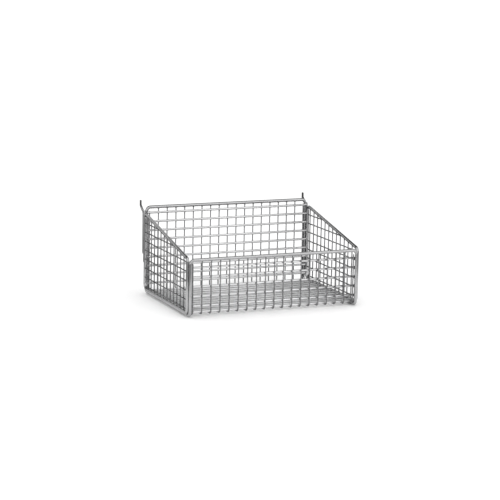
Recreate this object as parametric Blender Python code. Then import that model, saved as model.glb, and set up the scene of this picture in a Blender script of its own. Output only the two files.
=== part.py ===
"""A wire basket that hangs on a slatwall, with a high back, a low front and sloping sides.

Each long wire runs in one piece up the back, under the floor and up the front, and straight
cross wires lie on its inner side. One rod is bent into a ring round the whole basket: the rim of
the back, two legs, two runners along the floor, two short legs and the rim of the front. A rod
frame with a grille in its plane closes each side, and two hook plates beside the back's legs
carry the basket on the wall.

X runs along the wall, Y towards the wall, Z up. The basket stands on the ring's runners at Z = 0,
and the origin is under the middle of its outline.
"""

import math

import bmesh
import bpy
from mathutils import Matrix, Vector

MM = 0.001

# Stock, and the clearance left between two welded pieces
WIRE = 3.2 * MM
CROSS_WIRE = 6.0 * MM
ROD = 8.6 * MM
PLATE = 3.0 * MM
WELD_GAP = 0.3 * MM

# Wires of the back, the floor and the front
LONG_COUNT = 19
LONG_PITCH = 25.4 * MM
LONG_BEND = 8.0 * MM
CROSS_PITCH = 24.3 * MM
FLOOR_CELLS = 13
BACK_LEVELS = 9
BACK_LOW_Z = 28.0 * MM
FRONT_LEVELS = 5
FRONT_LOW_Z = 28.9 * MM
FRONT_PITCH = 25.0 * MM
CORNER_INSET = 6.0 * MM

# Rims, counted from the highest cross wire below them
BACK_RIM_RISE = 13.9 * MM
FRONT_RIM_RISE = 21.4 * MM
RIM_BEND = 11.0 * MM
LEG_CLEARANCE = 1.7 * MM

# Side frames and their grilles
SIDE_UPRIGHTS = 12
FIRST_UPRIGHT = 19.5 * MM
SIDE_LEVELS = 8
SIDE_LEVEL_PITCH = 24.7 * MM
SIDE_LOW_Z = 21.5 * MM
SLOPE_RISE = 25.0 * MM
SLOPE_OVER_FRONT = 3.3 * MM
FRAME_INSET = 4.4 * MM
FRAME_OUTSET = 5.4 * MM
FRAME_BEND = 10.0 * MM
FRAME_HEEL_BEND = 20.0 * MM
WELD_PRESS = 0.8 * MM

# Hook plates: depths from the back's long wires, heights from one step to the next
WALL_STANDOFF = 16.0 * MM
SLAT_LIP = 14.0 * MM
TONGUE = 8.0 * MM
TAIL_Z = 84.2 * MM
TAIL_STEP = 8.0 * MM
TAIL_HEIGHT = 23.0 * MM
WALL_EDGE_HEIGHT = 112.0 * MM
SHOULDER_RISE = 8.0 * MM
HEEL_RISE = 15.0 * MM
TONGUE_RISE = 17.0 * MM
NECK = 11.0 * MM
SMALL_CORNER = 2.0 * MM
LARGE_CORNER = 5.0 * MM

# Fineness of the round shapes
ARC_STEPS = 4
WIRE_FACETS = 2
ROD_FACETS = 4

# Layers, from the centre of the long wires inwards and outwards
CROSS_INSET = (WIRE + CROSS_WIRE) / 2 + WELD_GAP
RIM_OUTSET = (ROD - WIRE) / 2
ROD_CLEAR = ROD / 2 + WELD_GAP

# Heights
RUNNER_Z = ROD / 2
FLOOR_Z = RUNNER_Z + RIM_OUTSET
FRAME_LOW_Z = FLOOR_Z + FRAME_INSET
BACK_RIM_Z = BACK_LOW_Z + (BACK_LEVELS - 1) * CROSS_PITCH + BACK_RIM_RISE
FRONT_RIM_Z = FRONT_LOW_Z + (FRONT_LEVELS - 1) * FRONT_PITCH + FRONT_RIM_RISE
SLOPE_BACK_Z = SIDE_LOW_Z + (SIDE_LEVELS - 1) * SIDE_LEVEL_PITCH + SLOPE_RISE
SLOPE_FRONT_Z = FRONT_RIM_Z + SLOPE_OVER_FRONT

# Layers, from the middle of the basket to its sides
LONG_EDGE_X = (LONG_COUNT - 1) * LONG_PITCH / 2
LEG_X = LONG_EDGE_X + (WIRE + ROD) / 2 + LEG_CLEARANCE
FRAME_X = LEG_X + FRAME_OUTSET
CROSS_END_X = FRAME_X - ROD_CLEAR
LEVEL_X = FRAME_X + (WIRE - WELD_PRESS) / 2
UPRIGHT_X = FRAME_X - (WIRE - WELD_PRESS) / 2
PLATE_X = LEG_X + (ROD + PLATE) / 2 + WELD_GAP

# Planes from the wall to the front
DEPTH = FLOOR_CELLS * CROSS_PITCH + 2 * FRAME_INSET
HOOK_REACH = WALL_STANDOFF + SLAT_LIP + TONGUE
BACK_Y = (DEPTH + RIM_OUTSET + ROD / 2 - HOOK_REACH) / 2
FRONT_Y = BACK_Y - DEPTH
FRAME_BACK_Y = BACK_Y - FRAME_INSET
FRAME_FRONT_Y = FRONT_Y + FRAME_INSET


def clear_scene():
    for item in list(bpy.data.objects):
        bpy.data.objects.remove(item, do_unlink=True)


def new_collection(name):
    group = bpy.data.collections.new(name)
    bpy.context.scene.collection.children.link(group)
    return group


def metal(name, colour, roughness):
    """A plain metal in one colour and roughness."""
    made = bpy.data.materials.new(name)
    made.use_nodes = True
    shader = made.node_tree.nodes["Principled BSDF"]
    shader.inputs["Base Color"].default_value = (*colour, 1.0)
    shader.inputs["Metallic"].default_value = 1.0
    shader.inputs["Roughness"].default_value = roughness
    return made


def rounded(corners):
    """The path through (x, y, z, radius) corners, each turned into an arc of its radius."""
    path = []
    for i, (*place, radius) in enumerate(corners):
        corner = Vector(place)
        if radius == 0:
            path.append(corner)
            continue
        back = (Vector(corners[i - 1][:3]) - corner).normalized()
        ahead = (Vector(corners[(i + 1) % len(corners)][:3]) - corner).normalized()
        half = back.angle(ahead) / 2
        centre = corner + (back + ahead).normalized() * radius / math.sin(half)
        spoke = corner + back * radius / math.tan(half) - centre
        axis = ahead.cross(back)
        for step in range(ARC_STEPS + 1):
            turn = (math.pi - 2 * half) * step / ARC_STEPS
            path.append(centre + Matrix.Rotation(turn, 3, axis) @ spoke)
    return path


def tubes(name, paths, diameter, facets, closed=False):
    """Curve data for wires or rods: one round tube along each path of 3D points."""
    curve = bpy.data.curves.new(name, "CURVE")
    curve.dimensions = "3D"
    curve.bevel_depth = diameter / 2
    curve.bevel_resolution = facets
    curve.use_fill_caps = not closed
    for path in paths:
        spline = curve.splines.new("POLY")
        spline.points.add(len(path) - 1)
        for slot, point in zip(spline.points, path):
            slot.co = (*point, 1.0)
        spline.use_cyclic_u = closed
    return curve


def put(name, data, group, material, place=(0.0, 0.0, 0.0)):
    """An object of its own that shows the shape at a place."""
    made = bpy.data.objects.new(name, data)
    made.location = place
    if not data.materials:
        data.materials.append(material)
    group.objects.link(made)
    return made


def as_mesh(curve_object):
    """The same object as a mesh, with the ends of its tubes welded shut."""
    graph = bpy.context.evaluated_depsgraph_get()
    mesh = bpy.data.meshes.new_from_object(curve_object.evaluated_get(graph))
    work = bmesh.new()
    work.from_mesh(mesh)
    bmesh.ops.remove_doubles(work, verts=work.verts, dist=WELD_GAP / 10)
    work.to_mesh(mesh)
    work.free()
    name, group = curve_object.name, curve_object.users_collection[0]
    place = curve_object.matrix_world.copy()
    bpy.data.objects.remove(curve_object, do_unlink=True)
    made = bpy.data.objects.new(name, mesh)
    made.matrix_world = place
    group.objects.link(made)
    return made


def long_wires(group, material):
    """The U-bent wires. The two outermost end lower, where the rims' corners start to bend."""
    shapes = []
    for drop in (ROD_CLEAR, RIM_BEND):
        corners = [
            (0, BACK_Y, BACK_RIM_Z - drop, 0),
            (0, BACK_Y, FLOOR_Z, LONG_BEND),
            (0, FRONT_Y, FLOOR_Z, LONG_BEND),
            (0, FRONT_Y, FRONT_RIM_Z - drop, 0),
        ]
        shapes.append(tubes("long_wire", [rounded(corners)], WIRE, WIRE_FACETS))
    inner, outermost = shapes
    for i in range(LONG_COUNT):
        shape = outermost if i in (0, LONG_COUNT - 1) else inner
        place = (i * LONG_PITCH - LONG_EDGE_X, 0.0, 0.0)
        put(f"long_wire_{i + 1:02d}", shape, group, material, place)


def cross_wires(group, material):
    """The straight thicker wires inside the long ones, named from the bottom up and from the back on.

    The lowest of the front lies in the corner, inside the long wires' bends.
    """
    ends = [(-CROSS_END_X, 0.0, 0.0), (CROSS_END_X, 0.0, 0.0)]
    shape = tubes("cross_wire", [ends], CROSS_WIRE, WIRE_FACETS)
    for i in range(BACK_LEVELS):
        place = (0.0, BACK_Y - CROSS_INSET, BACK_LOW_Z + i * CROSS_PITCH)
        put(f"back_cross_wire_{i + 1}", shape, group, material, place)
    for i in range(1, FLOOR_CELLS):
        place = (0.0, FRAME_BACK_Y - i * CROSS_PITCH, FLOOR_Z + CROSS_INSET)
        put(f"floor_cross_wire_{i:02d}", shape, group, material, place)
    corner_place = (0.0, FRONT_Y + CORNER_INSET, FLOOR_Z + CORNER_INSET)
    put("front_cross_wire_1", shape, group, material, corner_place)
    for i in range(FRONT_LEVELS):
        place = (0.0, FRONT_Y + CROSS_INSET, FRONT_LOW_Z + i * FRONT_PITCH)
        put(f"front_cross_wire_{i + 2}", shape, group, material, place)


def rim_rod(group, material):
    """The ring: over the back, down, along the floor, up and over the front, and back again."""
    back_y, front_y = BACK_Y + RIM_OUTSET, FRONT_Y - RIM_OUTSET
    ring = [
        (-LEG_X, back_y, BACK_RIM_Z),
        (LEG_X, back_y, BACK_RIM_Z),
        (LEG_X, back_y, RUNNER_Z),
        (LEG_X, front_y, RUNNER_Z),
        (LEG_X, front_y, FRONT_RIM_Z),
        (-LEG_X, front_y, FRONT_RIM_Z),
        (-LEG_X, front_y, RUNNER_Z),
        (-LEG_X, back_y, RUNNER_Z),
    ]
    path = rounded([(*point, RIM_BEND) for point in ring])
    put("rim_rod", tubes("rim_rod", [path], ROD, ROD_FACETS, closed=True), group, material)


def side_frames(group, material):
    """The closed rod frames of the two sides, of one shape."""
    corners = [
        (0, FRAME_BACK_Y, FRAME_LOW_Z, FRAME_HEEL_BEND),
        (0, FRAME_BACK_Y, SLOPE_BACK_Z, FRAME_BEND),
        (0, FRAME_FRONT_Y, SLOPE_FRONT_Z, FRAME_BEND),
        (0, FRAME_FRONT_Y, FRAME_LOW_Z, FRAME_BEND),
    ]
    shape = tubes("side_frame", [rounded(corners)], ROD, ROD_FACETS, closed=True)
    put("left_side_frame", shape, group, material, (-FRAME_X, 0.0, 0.0))
    put("right_side_frame", shape, group, material, (FRAME_X, 0.0, 0.0))


def end_inset(beside, bend):
    """How far from a frame rod's axis a grille wire ends, this far beside the next rod's axis.

    Where the corner's bend between the two rods reaches the wire, the wire is shorter.
    """
    into_bend = bend - (beside - WIRE / 2)
    if into_bend <= 0:
        return ROD_CLEAR
    inside = bend * math.cos(math.pi / 4 / ARC_STEPS) - ROD_CLEAR
    return bend - math.sqrt(inside**2 - into_bend**2)


def side_mesh(name, side, group, cutters, material):
    """A side's grille in the frame's plane: uprights, and level wires pressed onto them."""
    steepness = (SLOPE_BACK_Z - SLOPE_FRONT_Z) / (FRAME_BACK_Y - FRAME_FRONT_Y)
    under_slope = ROD_CLEAR * math.hypot(1, steepness)
    uprights = []
    for i in range(SIDE_UPRIGHTS):
        run = FIRST_UPRIGHT + i * CROSS_PITCH
        y = FRAME_BACK_Y - run
        low_z = FRAME_LOW_Z + end_inset(run, FRAME_HEEL_BEND)
        top_z = SLOPE_BACK_Z - under_slope - (run + WIRE / 2) * steepness
        uprights.append([(side * UPRIGHT_X, y, low_z), (side * UPRIGHT_X, y, top_z)])
    levels = []
    for i in range(SIDE_LEVELS):
        z = SIDE_LOW_Z + i * SIDE_LEVEL_PITCH
        back_y = FRAME_BACK_Y - end_inset(z - FRAME_LOW_Z, FRAME_HEEL_BEND)
        slope_y = FRAME_BACK_Y - (SLOPE_BACK_Z - under_slope - z - WIRE / 2) / steepness
        front_y = max(slope_y, FRAME_FRONT_Y + end_inset(z - FRAME_LOW_Z, FRAME_BEND))
        levels.append([(side * LEVEL_X, back_y, z), (side * LEVEL_X, front_y, z)])
    grille = as_mesh(put(name, tubes(name, uprights, WIRE, WIRE_FACETS), group, material))
    level_curve = tubes(f"{name}_levels", levels, WIRE, WIRE_FACETS)
    level_wires = as_mesh(put(f"{name}_levels", level_curve, cutters, material))
    level_wires.hide_render = True
    level_wires.display_type = "WIRE"
    weld = grille.modifiers.new("weld", "BOOLEAN")
    weld.operation = "UNION"
    weld.solver = "EXACT"
    weld.object = level_wires


def brackets(group, material):
    """The hook plates: a wall edge, a tail below it, and a tongue that sits behind a slat."""
    front = FRAME_BACK_Y + ROD_CLEAR
    wall = BACK_Y + WALL_STANDOFF
    slat = wall + SLAT_LIP
    rear = slat + TONGUE
    edge_low = TAIL_Z + TAIL_HEIGHT
    edge_top = edge_low + WALL_EDGE_HEIGHT
    shoulder = edge_top + SHOULDER_RISE
    heel = edge_top + HEEL_RISE
    tip = heel + TONGUE_RISE
    neck_slope = HEEL_RISE / (rear - wall)
    neck_top = heel - neck_slope * TONGUE + NECK
    neck_foot = slat - (neck_top - shoulder) / neck_slope
    corners = [
        (front, TAIL_Z, 0, SMALL_CORNER),
        (wall - TAIL_STEP, TAIL_Z, 0, LARGE_CORNER),
        (wall - TAIL_STEP, edge_low, 0, SMALL_CORNER),
        (wall, edge_low, 0, LARGE_CORNER),
        (wall, edge_top, 0, SMALL_CORNER),
        (rear, heel, 0, LARGE_CORNER),
        (rear, tip, 0, SMALL_CORNER),
        (slat, tip, 0, SMALL_CORNER),
        (slat, neck_top, 0, SMALL_CORNER),
        (neck_foot, shoulder, 0, SMALL_CORNER),
        (front, shoulder, 0, SMALL_CORNER),
    ]
    outline = bpy.data.curves.new("bracket", "CURVE")
    outline.dimensions = "2D"
    outline.fill_mode = "BOTH"
    outline.extrude = PLATE / 2
    path = rounded(corners)
    spline = outline.splines.new("POLY")
    spline.points.add(len(path) - 1)
    for slot, point in zip(spline.points, path):
        slot.co = (*point, 1.0)
    spline.use_cyclic_u = True
    for name, side in (("left_bracket", -1), ("right_bracket", 1)):
        plate = put(name, outline, group, material, (side * PLATE_X, 0.0, 0.0))
        plate.rotation_euler = (math.pi / 2, 0.0, math.pi / 2)


def main():
    clear_scene()
    basket = new_collection("slatwall_basket")
    cutters = new_collection("cutters")
    wire = metal("plated_wire", (0.62, 0.62, 0.63), 0.30)
    rod = metal("plated_rod", (0.64, 0.64, 0.65), 0.27)
    plate = metal("plated_plate", (0.58, 0.58, 0.59), 0.35)
    long_wires(basket, wire)
    cross_wires(basket, wire)
    rim_rod(basket, rod)
    side_frames(basket, rod)
    side_mesh("left_side_mesh", -1, basket, cutters, wire)
    side_mesh("right_side_mesh", 1, basket, cutters, wire)
    brackets(basket, plate)


main()
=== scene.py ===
# %% [markdown]
# # A wire basket for a slatted display wall
# The basket is welded from plated steel: nineteen long wires bent into a U, straight cross wires
# on their inner side, one rod bent into a ring round the whole basket, a rod frame with a grille
# on each side, and two hook plates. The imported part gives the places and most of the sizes. This
# lesson gives it truly round wires, weld nuggets at the crossings, plated metal and studio light.

import math

import bpy
import numpy as np
from mathutils import Matrix, Vector


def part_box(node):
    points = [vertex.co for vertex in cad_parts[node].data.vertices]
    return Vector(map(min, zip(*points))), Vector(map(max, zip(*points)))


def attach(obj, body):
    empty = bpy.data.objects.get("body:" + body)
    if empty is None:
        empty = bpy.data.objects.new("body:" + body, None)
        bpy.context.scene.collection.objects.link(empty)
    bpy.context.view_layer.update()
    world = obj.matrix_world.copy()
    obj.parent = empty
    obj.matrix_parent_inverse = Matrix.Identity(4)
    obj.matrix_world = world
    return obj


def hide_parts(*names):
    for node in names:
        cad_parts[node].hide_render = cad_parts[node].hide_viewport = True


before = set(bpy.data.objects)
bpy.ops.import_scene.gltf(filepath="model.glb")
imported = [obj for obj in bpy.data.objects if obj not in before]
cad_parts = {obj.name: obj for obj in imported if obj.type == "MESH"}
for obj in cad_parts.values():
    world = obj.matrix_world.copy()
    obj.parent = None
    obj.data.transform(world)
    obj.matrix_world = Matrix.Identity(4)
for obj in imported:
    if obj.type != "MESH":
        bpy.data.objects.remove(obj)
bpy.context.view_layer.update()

# %% [markdown]
# ## Sizes
# A piece sits where its node sits, so most places are read from the nodes' boxes: the middle of a
# wire's box is its centre line. What a box can't tell is written again here: the stock's
# thickness, the bends, the front rail, the slope and the wires inside a grille.

# %% Sizes
WIRE = 0.0032
CROSS_WIRE = 0.006
ROD = 0.0086
WELD_GAP = 0.0003
WELD_PRESS = 0.0008
LONG_BEND = 0.008
RIM_BEND = 0.011
FRAME_BEND = 0.010
FRAME_HEEL_BEND = 0.020
FRONT_RIM_RISE = 0.0214
SLOPE_OVER_FRONT = 0.0033
SLOPE_BACK_Z = 0.2194
FIRST_UPRIGHT = 0.0195
UPRIGHT_PITCH = 0.0243
UPRIGHT_COUNT = 12
LOWEST_LEVEL_Z = 0.0215
LEVEL_PITCH = 0.0247
LEVEL_COUNT = 8


def box(name):
    """A node's lowest and highest corners as arrays."""
    return np.array(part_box(name))


def middle(name):
    """The middle of a node's box."""
    return box(name).mean(axis=0)


ring_low, ring_high = box("rim_rod")
leg_x, back_rod_y, back_rail_z = ring_high - ROD / 2
front_rod_y, runner_z = ring_low[1:] + ROD / 2
long_low, long_high = box("long_wire_10")
back_y, front_y = long_high[1] - WIRE / 2, long_low[1] + WIRE / 2
floor_z = long_low[2] + WIRE / 2
frame_low, frame_high = box("right_side_frame")
frame_x = (frame_low[0] + frame_high[0]) / 2
frame_front_y, frame_low_z = frame_low[1:] + ROD / 2
frame_back_y = frame_high[1] - ROD / 2

LONG_XS = [middle(f"long_wire_{i:02d}")[0] for i in range(1, 20)]
FRONT_RAIL_Z = middle("front_cross_wire_6")[2] + FRONT_RIM_RISE
SLOPE_FRONT_Z = FRONT_RAIL_Z + SLOPE_OVER_FRONT
UPRIGHT_YS = [frame_back_y - FIRST_UPRIGHT - i * UPRIGHT_PITCH for i in range(UPRIGHT_COUNT)]
LEVEL_ZS = [LOWEST_LEVEL_Z + i * LEVEL_PITCH for i in range(LEVEL_COUNT)]
print(f"legs at x {leg_x:.4f}, side frames at x {frame_x:.4f}, rail at z {back_rail_z:.4f}")

# %% [markdown]
# ## Bent paths
# A wire bender makes straight runs joined by arcs. Where a run along a turns into a run along b,
# the arc starts at radius times tan(half the turn) before the corner. From there a point at angle
# t has moved radius * sin(t) along a and radius * (1 - cos(t)) along n, the part of b across a.
# The formula also gives the direction of the path at every point, which the tube needs.

# %% Bent paths
def bent_path(corners, radii, closed=False, steps=10):
    """Points and directions along a path whose corners are arcs.

    start = corner - a * r * tan(turn / 2); point(t) = start + r * (a * sin(t) + n * (1 - cos(t)))
    """
    corners, radii = np.array(corners, float), np.array(radii, float)
    inner = corners if closed else corners[1:-1]
    before = np.roll(corners, 1, axis=0) if closed else corners[:-2]
    after = np.roll(corners, -1, axis=0) if closed else corners[2:]
    a = (inner - before) / np.linalg.norm(inner - before, axis=1, keepdims=True)
    b = (after - inner) / np.linalg.norm(after - inner, axis=1, keepdims=True)
    turn = np.arccos(np.sum(a * b, axis=1))[:, None]
    across = (b - a * np.cos(turn)) / np.sin(turn)
    r = radii[:, None]
    start = inner - a * r * np.tan(turn / 2)
    t = turn[:, :, None] * np.linspace(0, 1, steps + 1)[None, :, None]
    a, across, start, r = a[:, None], across[:, None], start[:, None], r[:, None]
    points = (start + r * (a * np.sin(t) + across * (1 - np.cos(t)))).reshape(-1, 3)
    ways = (a * np.cos(t) + across * np.sin(t)).reshape(-1, 3)
    if closed:
        return points, ways
    points = np.concatenate([corners[:1], points, corners[-1:]])
    return points, np.concatenate([ways[:1], ways, ways[-1:]])


def straight_path(start, end):
    """Two points and the direction from one to the other."""
    points = np.array([start, end], float)
    way = (points[1] - points[0]) / np.linalg.norm(points[1] - points[0])
    return points, np.array([way, way])


print("bent_path and straight_path give points and directions")

# %% [markdown]
# ## Tubes
# A tube is a surface of two parameters: the distance along the path and the angle round it. Every
# point also keeps where it lies in the wire itself, as distance along, across and up. The metal
# reads that, so its drawing lines follow the wire round each bend without a seam.

# %% Tubes
WIRE_SIDES = 16
CROSS_WIRE_SIDES = 20
ROD_SIDES = 24
ROD_STEPS = 14


def tube(path, diameter, sides, across, closed=False):
    """A round tube along a path.

    u = across made square to the path's direction w, v = w x u
    point(i, angle) = centre(i) + radius(i) * (u * cos(angle) + v * sin(angle))
    An open tube's ends are cut square, with the edge broken by a tenth of the diameter.
    """
    centres, ways = path
    if closed:
        sizes = np.ones(len(centres))
    else:
        broken = diameter / 10
        centres = np.concatenate([
            centres[:1], centres[:1] + ways[:1] * broken, centres[1:-1],
            centres[-1:] - ways[-1:] * broken, centres[-1:],
        ])
        ways = np.concatenate([ways[:1], ways, ways[-1:]])
        sizes = np.ones(len(centres))
        sizes[[0, -1]] = 1 - 2 * broken / diameter
    u = np.array(across, float) - ways * (ways @ np.array(across, float))[:, None]
    u /= np.linalg.norm(u, axis=1, keepdims=True)
    v = np.cross(ways, u)
    angle = np.linspace(0, 2 * np.pi, sides, endpoint=False)
    radius = diameter / 2 * sizes[:, None]
    side, rise = radius * np.cos(angle), radius * np.sin(angle)
    points = centres[:, None] + side[:, :, None] * u[:, None] + rise[:, :, None] * v[:, None]
    steps = np.linalg.norm(np.diff(centres, axis=0), axis=1)
    along = np.broadcast_to(np.concatenate([[0], np.cumsum(steps)])[:, None], side.shape)
    lay = np.stack([along, side, rise], axis=-1)
    rings = np.arange(len(centres) * sides).reshape(len(centres), sides)
    near, far = (rings, np.roll(rings, -1, axis=0)) if closed else (rings[:-1], rings[1:])
    quads = np.stack([near, np.roll(near, -1, 1), np.roll(far, -1, 1), far], axis=-1).reshape(-1, 4)
    caps = [] if closed else [rings[0, ::-1].tolist(), rings[-1].tolist()]
    return {"points": points.reshape(-1, 3), "lay": lay.reshape(-1, 3),
            "quads": quads, "caps": caps}


# %% [markdown]
# ## Weld nuggets
# Resistance welding squeezes a little steel out into the four corners of a crossing. Each nugget
# is a flattened ball whose outline is a square with round corners, |cos|^4 + |sin|^4, so that it
# shows in those corners. There are nearly nine hundred, so each has only some two dozen faces.

# %% Weld nuggets
NUGGET_SIDES = 8
NUGGET_BANDS = np.radians([28, 68, 112, 152])


def nuggets(places, halves, flat_axis):
    """One nugget at each place, with half sizes (x, y, z), flattened along one axis.

    point(p, q) = place + half * (sin(p) * cos(q) / s, sin(p) * sin(q) / s, cos(p)),
    s = (cos(q)^4 + sin(q)^4)^(1/4), and the third coordinate goes to the flat axis
    """
    p = NUGGET_BANDS[:, None]
    q = np.linspace(0, 2 * np.pi, NUGGET_SIDES, endpoint=False)[None, :]
    s = (np.cos(q) ** 4 + np.sin(q) ** 4) ** 0.25
    unit = np.stack([np.sin(p) * np.cos(q) / s, np.sin(p) * np.sin(q) / s,
                     np.broadcast_to(np.cos(p), (len(p), NUGGET_SIDES))], axis=-1)
    unit = np.roll(unit.reshape(-1, 3), flat_axis - 2, axis=1)
    places = np.array(places, float).reshape(-1, 1, 3)
    points = (places + unit[None] * np.array(halves, float)).reshape(-1, 3)
    rings = np.arange(unit.shape[0]).reshape(len(NUGGET_BANDS), NUGGET_SIDES)
    near, far = rings[:-1], rings[1:]
    quads = np.stack([near, far, np.roll(far, -1, 1), np.roll(near, -1, 1)], axis=-1).reshape(-1, 4)
    offsets = np.arange(len(places)) * len(unit)
    quads = (quads[None] + offsets[:, None, None]).reshape(-1, 4)
    tops = (rings[0][None] + offsets[:, None]).tolist()
    bottoms = (rings[-1][::-1][None] + offsets[:, None]).tolist()
    return {"points": points, "lay": points.copy(), "quads": quads, "caps": tops + bottoms}


print(f"a nugget has {(len(NUGGET_BANDS) - 1) * NUGGET_SIDES + 2} faces")

# %% [markdown]
# ## One object from several shapes
# A piece is made of tubes and nuggets. Their arrays are laid end to end, the faces renumbered, and
# everything goes into the mesh at once. Round faces are shaded smooth and cut ends flat.

# %% One object from several shapes
basket = bpy.data.collections.new("basket_pieces")
bpy.context.scene.collection.children.link(basket)


def piece(name, metal, shapes, welds=(), replaced=()):
    """An object made of shapes in one metal and welds in another, standing for the named nodes."""
    mesh = bpy.data.meshes.new(name)
    parts = list(shapes) + list(welds)
    starts = np.cumsum([0] + [len(part["points"]) for part in parts])
    quads = [(part["quads"] + start).tolist() for part, start in zip(parts, starts)]
    caps = [[[v + int(start) for v in cap] for cap in part["caps"]]
            for part, start in zip(parts, starts)]
    faces = [face for quad_list, cap_list in zip(quads, caps) for face in quad_list + cap_list]
    mesh.from_pydata(np.concatenate([part["points"] for part in parts]), [], faces)
    smooth, material = [], []
    for k, part in enumerate(parts):
        is_weld = k >= len(shapes)
        smooth += [True] * len(part["quads"]) + [is_weld] * len(part["caps"])
        material += [int(is_weld)] * (len(part["quads"]) + len(part["caps"]))
    mesh.polygons.foreach_set("use_smooth", smooth)
    mesh.polygons.foreach_set("material_index", material)
    lay = mesh.attributes.new("lay", "FLOAT_VECTOR", "POINT")
    lay.data.foreach_set("vector", np.concatenate([part["lay"] for part in parts]).ravel())
    mesh.materials.append(metal)
    if welds:
        mesh.materials.append(weld_metal)
    made = bpy.data.objects.new(name, mesh)
    basket.objects.link(made)
    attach(made, "root")
    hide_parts(*replaced)
    return made


print("piece() joins shapes into one object")

# %% [markdown]
# ## Shader sums
# Node trees are easier to read as sums. A Value wraps a socket, so that a + b, a - b and a * b add
# Math nodes, where b may be a plain number, and in a sum a as well. node() adds any other node:
# its settings are set first, then its sockets get their values or links.

# %% Shader sums
class Value:
    """An output socket of a material's nodes, which can be added, subtracted and multiplied."""

    def __init__(self, tree, socket=None):
        self.tree, self.socket = tree, socket

    def node(self, kind, settings, sockets, output=0):
        """Any node, with its settings set first and then its sockets. Gives one of its outputs."""
        made = self.tree.nodes.new(kind)
        for name, setting in settings.items():
            setattr(made, name, setting)
        for name, value in sockets.items():
            if isinstance(value, Value):
                self.tree.links.new(value.socket, made.inputs[name])
            else:
                made.inputs[name].default_value = value
        return Value(self.tree, made.outputs[output])

    def math(self, operation, first, second):
        return self.node("ShaderNodeMath", {"operation": operation}, {0: first, 1: second})

    def __add__(self, other):
        return self.math("ADD", self, other)

    def __sub__(self, other):
        return self.math("SUBTRACT", self, other)

    def __mul__(self, other):
        return self.math("MULTIPLY", self, other)

    __radd__ = __add__


print("Value is ready for the metals")

# %% [markdown]
# ## Plated steel
# The wire is drawn through a die, which leaves fine lines along it, and then plated, which leaves
# a thin satin skin with slightly uneven shine and the odd dull patch from handling. The lines are
# noise stretched along the wire, the patches are large soft noise. Both change the roughness and,
# only a little, the colour; the lines and a fine grain also give the bump. The cells are counted
# per metre. The hook plates' colour is made much darker above a given height, at their tips.

# %% Plated steel
LINE_CELLS = (60.0, 3600.0, 3600.0)
GRAIN_CELLS = 2200.0
DULL_FROM, DULL_TO = 0.5, 0.72
LINE_SHARE = 0.10
PATCH_SHARE = 0.22
DULL_DARKENING = 0.10
BLACK_BELOW, BLACK_ABOVE, BLACK_LEFT = 0.006, 0.004, 0.18
BUMP_STRENGTH = 0.35


def plated_steel(name, tone, shine, line_depth, patch_scale, dull_share, dark_z=None):
    """Plated steel: a tone, a roughness, the depth of its drawing lines and its dull patches.

    Where dark_z is given, the metal's colour is made much darker above that height and has no
    drawing direction.
    """
    made = bpy.data.materials.new(name)
    made.use_nodes = True
    tree = made.node_tree
    shader = tree.nodes["Principled BSDF"]
    shader.inputs["Metallic"].default_value = 1.0
    start = Value(tree)
    object_place = start.node("ShaderNodeTexCoord", {}, {}, "Object")
    place = object_place
    if dark_z is None:
        place = start.node("ShaderNodeAttribute", {"attribute_name": "lay"}, {}, "Vector")
    stretch = start.node("ShaderNodeVectorMath", {"operation": "MULTIPLY"},
                         {0: place, 1: LINE_CELLS})
    lines = start.node("ShaderNodeTexNoise", {}, {"Vector": stretch, "Scale": 1.0, "Detail": 2.0})
    patches = start.node("ShaderNodeTexNoise", {},
                         {"Vector": object_place, "Scale": patch_scale, "Detail": 3.0})
    grain = start.node("ShaderNodeTexNoise", {},
                       {"Vector": object_place, "Scale": GRAIN_CELLS, "Detail": 1.0})
    dull = start.node("ShaderNodeMapRange", {"interpolation_type": "SMOOTHSTEP"},
                      {"Value": patches, "From Min": DULL_FROM, "From Max": DULL_TO,
                       "To Min": 0.0, "To Max": 1.0})
    roughness = shine + dull * dull_share + (lines - 0.5) * LINE_SHARE
    tree.links.new(roughness.socket, shader.inputs["Roughness"])
    bright = (1.0 + (patches - 0.5) * PATCH_SHARE - dull * DULL_DARKENING
              + (lines - 0.5) * LINE_SHARE)
    if dark_z is not None:
        place_z = start.node("ShaderNodeSeparateXYZ", {}, {0: object_place}, "Z")
        black = start.node("ShaderNodeMapRange", {"interpolation_type": "SMOOTHSTEP"},
                           {"Value": place_z, "From Min": dark_z - BLACK_BELOW,
                            "From Max": dark_z + BLACK_ABOVE, "To Min": 1.0,
                            "To Max": BLACK_LEFT})
        bright = bright * black
    double_tone = (*(2 * c for c in tone), 1.0)
    colour = start.node("ShaderNodeMix", {"data_type": "RGBA"},
                        {0: bright * 0.5, 6: (0.0, 0.0, 0.0, 1.0), 7: double_tone}, 2)
    tree.links.new(colour.socket, shader.inputs["Base Color"])
    height = lines * line_depth + grain * (line_depth * 0.5)
    bump = start.node("ShaderNodeBump", {},
                      {"Height": height, "Strength": BUMP_STRENGTH, "Distance": 1.0})
    tree.links.new(bump.socket, shader.inputs["Normal"])
    return made


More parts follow.
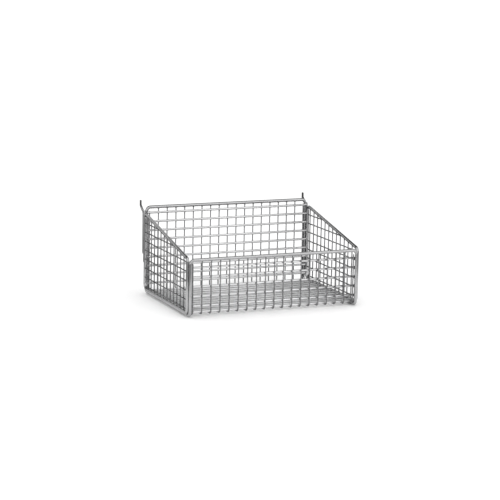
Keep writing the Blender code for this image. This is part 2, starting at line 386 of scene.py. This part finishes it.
# The long wires, the grilles and the cross wires are one plated steel with painted light and shade
# in their tones: the dark tone of the long wires and grilles is painted shade, and the light tone
# of the cross wires is a painted highlight, standing for how they mirror the studio's light.
painted_shade_wire_metal = plated_steel("plated_wire", (0.23, 0.23, 0.235), 0.22, 4e-6, 45.0, 0.16)
painted_light_cross_wire_metal = plated_steel("plated_wire_painted_highlight", (0.74, 0.74, 0.745), 0.30, 4e-6, 45.0, 0.12)
rod_metal = plated_steel("plated_rod", (0.45, 0.45, 0.455), 0.13, 4e-6, 30.0, 0.14)
plate_metal = plated_steel("plated_plate", (0.64, 0.64, 0.645), 0.42, 6e-6, 38.0, 0.15,
                           dark_z=0.236)
weld_metal = plated_steel("weld_nugget", (0.18, 0.18, 0.182), 0.42, 9e-6, 400.0, 0.15)
print("five metals: wire, cross wire, rod, plate and weld")

# %% [markdown]
# ## Long wires
# Each long wire is one length bent twice, so that back, floor and front are one piece. It ends
# just under the rails. The two outermost end lower, beside the rails' rounded corners.

# %% Long wires
def long_wire(number, x):
    """One U-bent wire: corners at the back's and the front's foot."""
    name = f"long_wire_{number:02d}"
    top_z = box(name)[1][2]
    front_top_z = FRONT_RAIL_Z - (back_rail_z - top_z)
    corners = [(x, back_y, top_z), (x, back_y, floor_z), (x, front_y, floor_z),
               (x, front_y, front_top_z)]
    path = bent_path(corners, [LONG_BEND, LONG_BEND])
    piece(name + "_round", painted_shade_wire_metal, [tube(path, WIRE, WIRE_SIDES, (1, 0, 0))], replaced=[name])


for i, x in enumerate(LONG_XS):
    long_wire(i + 1, x)
print(f"{len(LONG_XS)} long wires")

# %% [markdown]
# ## Cross wires
# The straight wires are thicker and lie on the inner side of the long ones. Each carries the
# nuggets of its own crossings, and one at each end where it meets the ring's legs or runners. The
# lowest one of the front lies in the long wires' bends, so its nuggets face down and forward.

# %% Cross wires
NUGGET_HALF = 0.0026
NUGGET_FLAT = 0.0011
DIAGONAL = math.sqrt(0.5)


def cross_wire(name, outward):
    """A straight wire along X, with nuggets on the side where the long wires are.

    place = centre + outward * (diameter + gap) / 2, with outward a unit vector
    """
    low, high = box(name)
    centre = (low + high) / 2
    outward = np.array(outward)
    xs = np.array([-leg_x] + LONG_XS + [leg_x])
    places = np.tile(centre + outward * (CROSS_WIRE + WELD_GAP) / 2, (len(xs), 1))
    places[:, 0] = xs
    halves = NUGGET_HALF - (NUGGET_HALF - NUGGET_FLAT) * np.abs(outward)
    path = straight_path((low[0], *centre[1:]), (high[0], *centre[1:]))
    piece(name + "_round", painted_light_cross_wire_metal, [tube(path, CROSS_WIRE, CROSS_WIRE_SIDES, (0, 0, 1))],
          [nuggets(places, halves, int(np.argmax(np.abs(outward))))], [name])


cross_wire("front_cross_wire_1", (0, -DIAGONAL, -DIAGONAL))
for i in range(1, 10):
    cross_wire(f"back_cross_wire_{i}", (0, 1, 0))
for i in range(2, 7):
    cross_wire(f"front_cross_wire_{i}", (0, -1, 0))
for i in range(1, 13):
    cross_wire(f"floor_cross_wire_{i:02d}", (0, 0, -1))
print("27 cross wires")

# %% [markdown]
# ## The ring
# One rod runs over the back, down both rear corners, along the floor, up the front corners and
# over the front. The long wires end against it, each with a nugget. Longer beads join it to the
# side frames and the hook plates.

# %% The ring
BACK_POST_ZS = (0.035, 0.085, 0.135, 0.185)
FRONT_POST_ZS = (0.035, 0.080, 0.125)
RUNNER_YS = (-0.13, -0.05, 0.03, 0.10)
PLATE_ZS = (0.095, 0.150, 0.205)
WIRE_END_NUGGET = (0.0023, 0.0019, 0.0012)
POST_BEAD = (0.0014, 0.0014, 0.006)
RUNNER_BEAD = (0.0014, 0.006, 0.0014)
PLATE_BEAD = (0.0009, 0.0019, 0.007)

ring_corners = [
    (-leg_x, back_rod_y, back_rail_z), (leg_x, back_rod_y, back_rail_z),
    (leg_x, back_rod_y, runner_z), (leg_x, front_rod_y, runner_z),
    (leg_x, front_rod_y, FRONT_RAIL_Z), (-leg_x, front_rod_y, FRONT_RAIL_Z),
    (-leg_x, front_rod_y, runner_z), (-leg_x, back_rod_y, runner_z),
]
ring_bends = [RIM_BEND] * len(ring_corners)
ring_path = bent_path(ring_corners, ring_bends, closed=True, steps=ROD_STEPS)
under_rail = ROD / 2 + WELD_GAP / 2
end_places = [(x, y, z - under_rail) for x in LONG_XS[1:-1]
              for y, z in ((back_y, back_rail_z), (front_y, FRONT_RAIL_Z))]
side_x = (leg_x + frame_x) / 2
back_post_y, front_post_y = (back_rod_y + frame_back_y) / 2, (front_rod_y + frame_front_y) / 2
post_places = [(s * side_x, back_post_y, z) for s in (-1, 1) for z in BACK_POST_ZS]
post_places += [(s * side_x, front_post_y, z) for s in (-1, 1) for z in FRONT_POST_ZS]
runner_places = [(s * side_x, y, (runner_z + frame_low_z) / 2)
                 for s in (-1, 1) for y in RUNNER_YS]
plate_places = [(s * (leg_x + (ROD + WELD_GAP) / 2), back_rod_y, z)
                for s in (-1, 1) for z in PLATE_ZS]
piece("rim_rod_round", rod_metal, [tube(ring_path, ROD, ROD_SIDES, (1, 1, 1), closed=True)],
      [nuggets(end_places, WIRE_END_NUGGET, 2), nuggets(post_places, POST_BEAD, 2),
       nuggets(runner_places, RUNNER_BEAD, 1), nuggets(plate_places, PLATE_BEAD, 2)],
      ["rim_rod"])
print(f"the ring, with {len(end_places)} wire ends welded to it")

# %% [markdown]
# ## Side frames and grilles
# Each side is a closed rod frame with a wire grille in its plane. The uprights lie inside, the
# level wires outside, and each wire ends on the frame's rods with a nugget. The frame's top slopes
# from the high back to the low front, and the wires under it are cut to the slope.

# %% Side frames and grilles
FRAME_NUGGET = (0.0018, 0.0020, 0.0020)
CROSSING_NUGGET = (0.0010, 0.0022, 0.0022)

steepness = (SLOPE_BACK_Z - SLOPE_FRONT_Z) / (frame_back_y - frame_front_y)
clear = ROD / 2 + WELD_GAP
under_slope = clear * math.hypot(1, steepness)


def slope_z(y):
    """The height of the slope's centre line at y."""
    return SLOPE_BACK_Z - (frame_back_y - y) * steepness


def end_inset(beside, bend):
    """How far from a rod's axis a wire ends where the corner's bend reaches it.

    inset = bend - sqrt((bend - clear)^2 - (bend - beside + wire / 2)^2)
    """
    into_bend = bend - (beside - WIRE / 2)
    return clear if into_bend <= 0 else bend - math.sqrt((bend - clear) ** 2 - into_bend**2)


def grille_wire(start, end):
    """One straight wire of a grille."""
    return tube(straight_path(start, end), WIRE, WIRE_SIDES, (1, 0, 0))


def side(name, sign):
    """The frame and the grille of one side. Gives the number of crossings."""
    x = sign * frame_x
    corners = [
        (x, frame_back_y, frame_low_z), (x, frame_back_y, SLOPE_BACK_Z),
        (x, frame_front_y, SLOPE_FRONT_Z), (x, frame_front_y, frame_low_z),
    ]
    bends = [FRAME_HEEL_BEND, FRAME_BEND, FRAME_BEND, FRAME_BEND]
    path = bent_path(corners, bends, closed=True, steps=ROD_STEPS)
    upright_x, level_x = (sign * (frame_x + k * (WIRE - WELD_PRESS) / 2) for k in (-1, 1))
    wires, crossings, ends = [], [], []
    for y in UPRIGHT_YS:
        low_z = frame_low_z + end_inset(frame_back_y - y, FRAME_HEEL_BEND)
        top_z = slope_z(y) - under_slope - WIRE / 2 * steepness
        wires.append(grille_wire((upright_x, y, low_z), (upright_x, y, top_z)))
        ends += [(upright_x, y, low_z), (upright_x, y, top_z + WELD_GAP)]
    for z in LEVEL_ZS:
        back_end = frame_back_y - end_inset(z - frame_low_z, FRAME_HEEL_BEND)
        slope_y = frame_back_y - (SLOPE_BACK_Z - under_slope - z - WIRE / 2) / steepness
        front_end = max(slope_y, frame_front_y + end_inset(z - frame_low_z, FRAME_BEND))
        wires.append(grille_wire((level_x, back_end, z), (level_x, front_end, z)))
        ends += [(level_x, back_end, z), (level_x, front_end, z)]
        crossings += [(x, y, z) for y in UPRIGHT_YS if y > front_end]
    piece(f"{name}_side_frame_round", rod_metal,
          [tube(path, ROD, ROD_SIDES, (1, 0, 0), closed=True)],
          [nuggets(ends, FRAME_NUGGET, 0)], [f"{name}_side_frame"])
    piece(f"{name}_side_mesh_round", painted_shade_wire_metal, wires,
          [nuggets(crossings, CROSSING_NUGGET, 0)], [f"{name}_side_mesh"])
    return len(crossings)


print(f"{side('left', -1) + side('right', 1)} crossings in the two grilles")

# %% [markdown]
# ## Hook plates
# The plates are cut from flat steel: a wall edge, a narrower tail below, and on top a neck that
# reaches through the groove to a tongue behind the slat. The outline is a bent path in the plate's
# plane. Four copies of it, the outer two drawn in by the width of the broken edge, make the rim.

# %% Hook plates
BROKEN_EDGE = 0.0004
TONGUE = 0.008
SLAT_LIP = 0.014
TAIL_STEP = 0.008
TAIL_HEIGHT = 0.023
WALL_EDGE_HEIGHT = 0.112
SHOULDER_RISE = 0.008
HEEL_RISE = 0.015
TONGUE_RISE = 0.017
NECK = 0.011
SMALL_CORNER, LARGE_CORNER = 0.002, 0.005
CORNER_STEPS = 6


def plate(name):
    """A flat plate with broken edges.

    inset outline = point - normal * width, normal = direction turned a quarter turn outwards
    """
    low, high = box(name)
    front, tail_z, tip_z, rear = low[1], low[2], high[2], high[1]
    slat = rear - TONGUE
    wall = slat - SLAT_LIP
    tail = wall - TAIL_STEP
    edge_low = tail_z + TAIL_HEIGHT
    edge_top = edge_low + WALL_EDGE_HEIGHT
    shoulder, heel = edge_top + SHOULDER_RISE, tip_z - TONGUE_RISE
    neck_slope = HEEL_RISE / (rear - wall)
    neck_top = heel - neck_slope * TONGUE + NECK
    neck_foot = slat - (neck_top - shoulder) / neck_slope
    outline = [
        (front, tail_z, SMALL_CORNER), (tail, tail_z, LARGE_CORNER),
        (tail, edge_low, SMALL_CORNER), (wall, edge_low, LARGE_CORNER),
        (wall, edge_top, SMALL_CORNER), (rear, heel, LARGE_CORNER),
        (rear, tip_z, SMALL_CORNER), (slat, tip_z, SMALL_CORNER),
        (slat, neck_top, SMALL_CORNER), (neck_foot, shoulder, SMALL_CORNER),
        (front, shoulder, SMALL_CORNER),
    ]
    points, ways = bent_path([(0, y, z) for y, z, _ in outline], [r for _, _, r in outline],
                             closed=True, steps=CORNER_STEPS)
    outward = np.cross(ways, (1, 0, 0))
    x_low, x_high = low[0], high[0]
    rims = [(x_low, BROKEN_EDGE), (x_low + BROKEN_EDGE, 0),
            (x_high - BROKEN_EDGE, 0), (x_high, BROKEN_EDGE)]
    rim_points = np.array([points - outward * inset + (x, 0, 0) for x, inset in rims])
    rings = np.arange(len(rims) * len(points)).reshape(len(rims), len(points))
    near, far = rings[:-1], rings[1:]
    quads = np.stack([near, np.roll(near, -1, 1), np.roll(far, -1, 1), far], axis=-1).reshape(-1, 4)
    shape = {"points": rim_points.reshape(-1, 3), "lay": rim_points.reshape(-1, 3),
             "quads": quads, "caps": [rings[0, ::-1].tolist(), rings[-1].tolist()]}
    made = piece(name + "_plate", plate_metal, [shape], replaced=[name])
    made.data.polygons.foreach_set("use_smooth", [False] * len(made.data.polygons))


plate("left_bracket")
plate("right_bracket")
print("two hook plates")

# %% [markdown]
# ## Camera
# A longish lens from the front left and a little above, with the slight roll of a hand-held shot.

# %% Camera
AZIMUTH, ELEVATION, ROLL = math.radians(-23.339), math.radians(10.585), math.radians(1.093)
DISTANCE = 4.9609
AIM = Vector((0.00582, 0.0, 0.13159))
LENS_OVER_WIDTH = 1842.2 / 500
SENSOR_WIDTH = 36

forward = Vector((
    -math.sin(AZIMUTH) * math.cos(ELEVATION),
    math.cos(AZIMUTH) * math.cos(ELEVATION),
    -math.sin(ELEVATION),
))
level = Vector((math.cos(AZIMUTH), math.sin(AZIMUTH), 0))
upward = level.cross(forward)
right = math.cos(ROLL) * level + math.sin(ROLL) * upward
up = -math.sin(ROLL) * level + math.cos(ROLL) * upward

camera_data = bpy.data.cameras.new("photo_camera")
camera_data.sensor_width = SENSOR_WIDTH
camera_data.lens = LENS_OVER_WIDTH * SENSOR_WIDTH
camera_data.clip_end = 100
camera = bpy.data.objects.new("photo_camera", camera_data)
camera.matrix_world = Matrix.Translation(AIM - DISTANCE * forward) @ Matrix(
    (right, up, -forward)
).transposed().to_4x4()
bpy.context.scene.collection.objects.link(camera)
bpy.context.scene.camera = camera
print(f"camera {DISTANCE:.2f} m away, {camera_data.lens:.0f} mm lens")

# %% [markdown]
# ## Floor and light
# Bright metal shows its surroundings, so these are set as in a studio. The sky is white all round.
# A black roof flag, a grey back flag and grey and black cloths on the floor are seen by
# reflections only. Rods along the wall mirror the white front with the dark roof and cloth at
# their edges, and upright wires mirror the grey cloths, so they come out darker. One soft lamp to
# the front right adds a mild highlight.

# %% Floor and light
SKY_STRENGTH = 1.16
FLOOR_HALF, FLOOR_Z, CLOTH_Z = 30, -0.0005, -0.0003
NEAR, FAR, BEHIND = 0.6, 8.0, 0.19
FLAG_HALF_WIDTH, FLAG_HEIGHT, FLAG_BACK_Y = 6, 2.5, 2.6
SOFTBOX_SIZE, SOFTBOX_WATTS, SOFTBOX_PLACE = (1.6, 1.2), 6, (1.35, -3.0, 1.1)


def card(name, middle_point, half_a, half_b, material):
    """A flat four-cornered card, given its middle and two half edges."""
    m, a, b = Vector(middle_point), Vector(half_a), Vector(half_b)
    mesh = bpy.data.meshes.new(name)
    mesh.from_pydata([m - a - b, m + a - b, m + a + b, m - a + b], [], [(0, 1, 2, 3)])
    mesh.materials.append(material)
    made = bpy.data.objects.new(name, mesh)
    bpy.context.scene.collection.objects.link(made)
    return made


def matt(name, colour):
    """A plain matt paint."""
    made = bpy.data.materials.new(name)
    made.use_nodes = True
    shader = made.node_tree.nodes["Principled BSDF"]
    shader.inputs["Base Color"].default_value = (*colour, 1)
    shader.inputs["Roughness"].default_value = 1.0
    shader.inputs["Specular IOR Level"].default_value = 0.0
    return made


floor_paint = matt("floor_paint", (0.98, 0.98, 0.98))
card("floor", (0, 0, FLOOR_Z), (FLOOR_HALF, 0, 0), (0, FLOOR_HALF, 0), floor_paint)
side_cloth = matt("side_cloth", (0.36, 0.36, 0.36))
back_cloth = matt("back_cloth", (0.60, 0.60, 0.60))
black_cloth = matt("black_cloth", (0.05, 0.05, 0.05))
half_run, middle_run = (FAR - NEAR) / 2, (FAR + NEAR) / 2
half_rear, middle_rear = (FAR - BEHIND) / 2, (FAR + BEHIND) / 2
half_height, half_depth = FLAG_HEIGHT / 2, FLAG_BACK_Y / 2
across_flag = (FLAG_HALF_WIDTH, 0, 0)
flags = [
    card("flag_back", (0, FLAG_BACK_Y, half_height), across_flag, (0, 0, half_height), back_cloth),
    card("flag_roof", (0, half_depth, FLAG_HEIGHT), across_flag, (0, half_depth, 0), black_cloth),
    card("cloth_left", (-middle_run, 0, CLOTH_Z), (half_run, 0, 0), (0, FAR, 0), side_cloth),
    card("cloth_right", (middle_run, 0, CLOTH_Z), (half_run, 0, 0), (0, FAR, 0), side_cloth),
    card("cloth_front", (0, -middle_run, CLOTH_Z), (NEAR, 0, 0), (0, half_run, 0), side_cloth),
    card("cloth_back", (0, middle_rear, CLOTH_Z), (NEAR, 0, 0), (0, half_rear, 0), black_cloth),
]
for flag in flags:
    flag.visible_camera = False
    flag.visible_diffuse = False
    flag.visible_shadow = False
    flag.visible_transmission = False

world = bpy.data.worlds.new("studio")
bpy.context.scene.world = world
world.use_nodes = True
world.node_tree.nodes["Background"].inputs["Color"].default_value = (1, 1, 1, 1)
world.node_tree.nodes["Background"].inputs["Strength"].default_value = SKY_STRENGTH

softbox = bpy.data.lights.new("softbox", "AREA")
softbox.shape = "RECTANGLE"
softbox.size, softbox.size_y = SOFTBOX_SIZE
softbox.energy = SOFTBOX_WATTS
lamp = bpy.data.objects.new("softbox", softbox)
lamp_place = Vector(SOFTBOX_PLACE)
lamp_turn = lamp_place.to_track_quat("Z", "Y").to_matrix().to_4x4()
lamp.matrix_world = Matrix.Translation(lamp_place) @ lamp_turn
bpy.context.scene.collection.objects.link(lamp)
bpy.context.scene.view_settings.view_transform = "Standard"
print(f"floor, {len(flags)} flags and cloths, white sky and a softbox")
